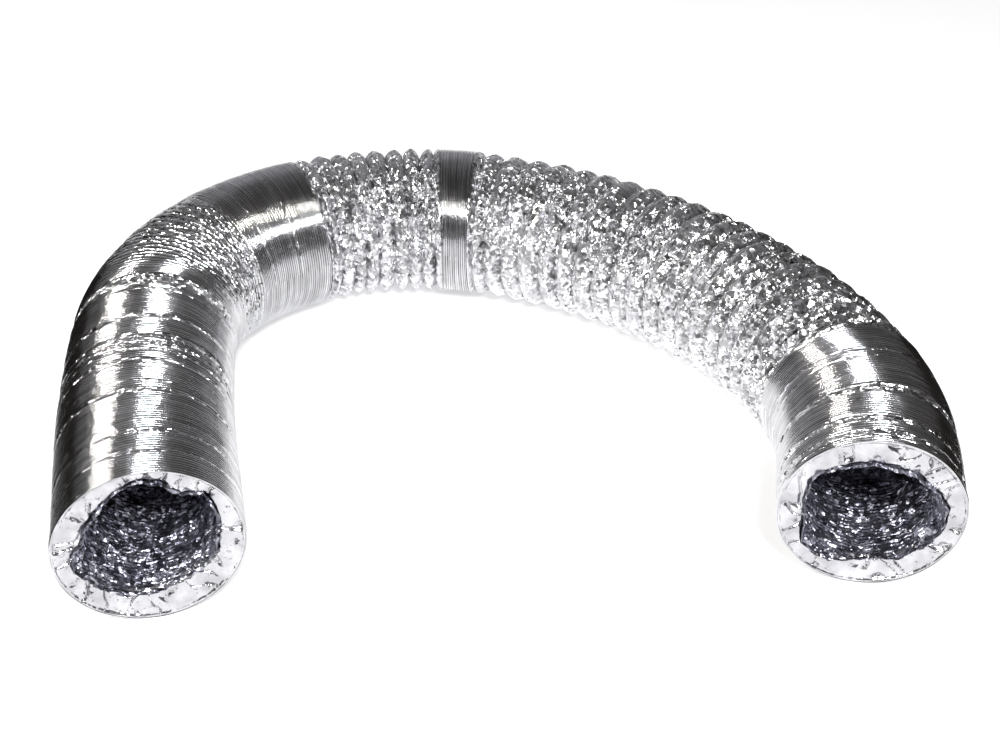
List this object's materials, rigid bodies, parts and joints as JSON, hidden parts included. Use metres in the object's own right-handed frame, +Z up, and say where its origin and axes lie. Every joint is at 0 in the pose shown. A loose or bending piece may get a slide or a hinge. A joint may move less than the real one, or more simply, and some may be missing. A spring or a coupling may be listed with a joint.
{
  "type": "flexible air duct",
  "caption": "Flexible foil air duct on a wire spiral, lying in an arch: closed folds at both ends and in the bend, open runs across the crown.",
  "frame": {"origin": "centre of the left opening, in the plane of its face", "axes": "+Y runs into the left opening along the left leg, +X points across the arch to the right leg, +Z is up"},
  "size_m": [0.6537, 0.5686, 0.13],
  "materials": {
    "outer_foil": "bright foil laminate, finely ringed",
    "inner_foil": "bright foil laminate, crinkled",
    "folds": "bright foil laminate, folded",
    "wire": "drawn spring wire"
  },
  "bodies": {
    "left_mouth": {"left_mouth_outer_foil": "outer_foil", "left_mouth_wire": "wire", "left_mouth_inner_foil": "inner_foil", "left_pull_folds": "folds"},
    "left_leg": {"left_leg_outer_foil": "outer_foil", "left_leg_wire": "wire", "left_leg_inner_foil": "inner_foil", "left_lift_folds": "folds"},
    "left_knee": {"left_knee_outer_foil": "outer_foil", "left_knee_wire": "wire", "left_knee_inner_foil": "inner_foil", "bend_start_folds": "folds"},
    "bend_lower": {"bend_lower_outer_foil": "outer_foil", "bend_lower_wire": "wire", "bend_lower_inner_foil": "inner_foil", "bend_middle_folds": "folds"},
    "bend_upper": {"bend_upper_outer_foil": "outer_foil", "bend_upper_wire": "wire", "bend_upper_inner_foil": "inner_foil", "bend_end_folds": "folds"},
    "shoulder": {"shoulder_outer_foil": "outer_foil", "shoulder_wire": "wire", "shoulder_inner_foil": "inner_foil", "shoulder_pull_folds": "folds"},
    "short_run": {"short_run_outer_foil": "outer_foil", "short_run_wire": "wire", "short_run_inner_foil": "inner_foil", "short_run_bend_folds": "folds"},
    "crown_band": {"crown_band_outer_foil": "outer_foil", "crown_band_wire": "wire", "crown_band_inner_foil": "inner_foil", "long_run_start_folds": "folds"},
    "long_run_1": {"long_run_1_outer_foil": "outer_foil", "long_run_1_wire": "wire", "long_run_1_inner_foil": "inner_foil", "long_run_pull_1_folds": "folds"},
    "long_run_2": {"long_run_2_outer_foil": "outer_foil", "long_run_2_wire": "wire", "long_run_2_inner_foil": "inner_foil", "long_run_middle_folds": "folds"},
    "long_run_3": {"long_run_3_outer_foil": "outer_foil", "long_run_3_wire": "wire", "long_run_3_inner_foil": "inner_foil", "long_run_pull_2_folds": "folds"},
    "long_run_4": {"long_run_4_outer_foil": "outer_foil", "long_run_4_wire": "wire", "long_run_4_inner_foil": "inner_foil", "right_lift_folds": "folds"},
    "right_leg": {"right_leg_outer_foil": "outer_foil", "right_leg_wire": "wire", "right_leg_inner_foil": "inner_foil", "right_pull_folds": "folds"},
    "right_mouth": {"right_mouth_outer_foil": "outer_foil", "right_mouth_wire": "wire", "right_mouth_inner_foil": "inner_foil"}
  },
  "joints": [
    {"name": "left_pull", "type": "slide", "parent": "left_leg", "child": "left_mouth", "axis": [0, -1, 0], "range_m": [0, 0.2], "deforming": ["left_pull_folds"]},
    {"name": "left_lift", "type": "hinge", "parent": "left_knee", "child": "left_leg", "pos_m": [0.00166, 0.15587, 0.065], "axis": [-0.9986, 0.0523, 0], "range_deg": [0, 35], "deforming": ["left_lift_folds"]},
    {"name": "bend_start", "type": "hinge", "parent": "bend_lower", "child": "left_knee", "pos_m": [0.07291, 0.2322, 0], "axis": [0, 0, 1], "range_deg": [-4.5, 12], "deforming": ["bend_start_folds"]},
    {"name": "bend_middle", "type": "hinge", "parent": "bend_upper", "child": "bend_lower", "pos_m": [0.08672, 0.27995, 0], "axis": [0, 0, 1], "range_deg": [-4.5, 12], "deforming": ["bend_middle_folds"]},
    {"name": "bend_end", "type": "hinge", "parent": "shoulder", "child": "bend_upper", "pos_m": [0.10938, 0.30948, 0], "axis": [0, 0, 1], "range_deg": [-4.5, 12], "deforming": ["bend_end_folds"]},
    {"name": "shoulder_pull", "type": "slide", "parent": "short_run", "child": "shoulder", "axis": [-0.9781, -0.2079, 0], "range_m": [-0.006, 0.12], "deforming": ["shoulder_pull_folds"]},
    {"name": "short_run_bend", "type": "hinge", "parent": "crown_band", "child": "short_run", "pos_m": [0.26557, 0.39961, 0], "axis": [0, 0, 1], "range_deg": [-8, 5], "deforming": ["short_run_bend_folds"]},
    {"name": "long_run_start", "type": "hinge", "parent": "crown_band", "child": "long_run_1", "pos_m": [0.31063, 0.38191, 0], "axis": [0, 0, 1], "range_deg": [-8, 13], "deforming": ["long_run_start_folds"]},
    {"name": "long_run_pull_1", "type": "slide", "parent": "long_run_1", "child": "long_run_2", "axis": [0.7547, -0.6561, 0], "range_m": [-0.009, 0.085], "deforming": ["long_run_pull_1_folds"]},
    {"name": "long_run_middle", "type": "hinge", "parent": "long_run_2", "child": "long_run_3", "pos_m": [0.45787, 0.25392, 0], "axis": [0, 0, 1], "range_deg": [-8, 13], "deforming": ["long_run_middle_folds"]},
    {"name": "long_run_pull_2", "type": "slide", "parent": "long_run_3", "child": "long_run_4", "axis": [0.3584, -0.9336, 0], "range_m": [-0.009, 0.085], "deforming": ["long_run_pull_2_folds"]},
    {"name": "right_lift", "type": "hinge", "parent": "long_run_4", "child": "right_leg", "pos_m": [0.52356, 0.07106, 0], "axis": [-0.9994, -0.0349, 0], "range_deg": [-8, 11], "deforming": ["right_lift_folds"]},
    {"name": "right_pull", "type": "slide", "parent": "right_leg", "child": "right_mouth", "axis": [-0.342, -0.9397, 0], "range_m": [0, 0.2], "deforming": ["right_pull_folds"]}
  ],
  "couplings": [
    {"joint": "bend_middle", "follows": "bend_start", "ratio": 1},
    {"joint": "bend_end", "follows": "bend_start", "ratio": 1},
    {"joint": "long_run_middle", "follows": "long_run_start", "ratio": 1},
    {"joint": "long_run_pull_2", "follows": "long_run_pull_1", "ratio": 1}
  ]
}
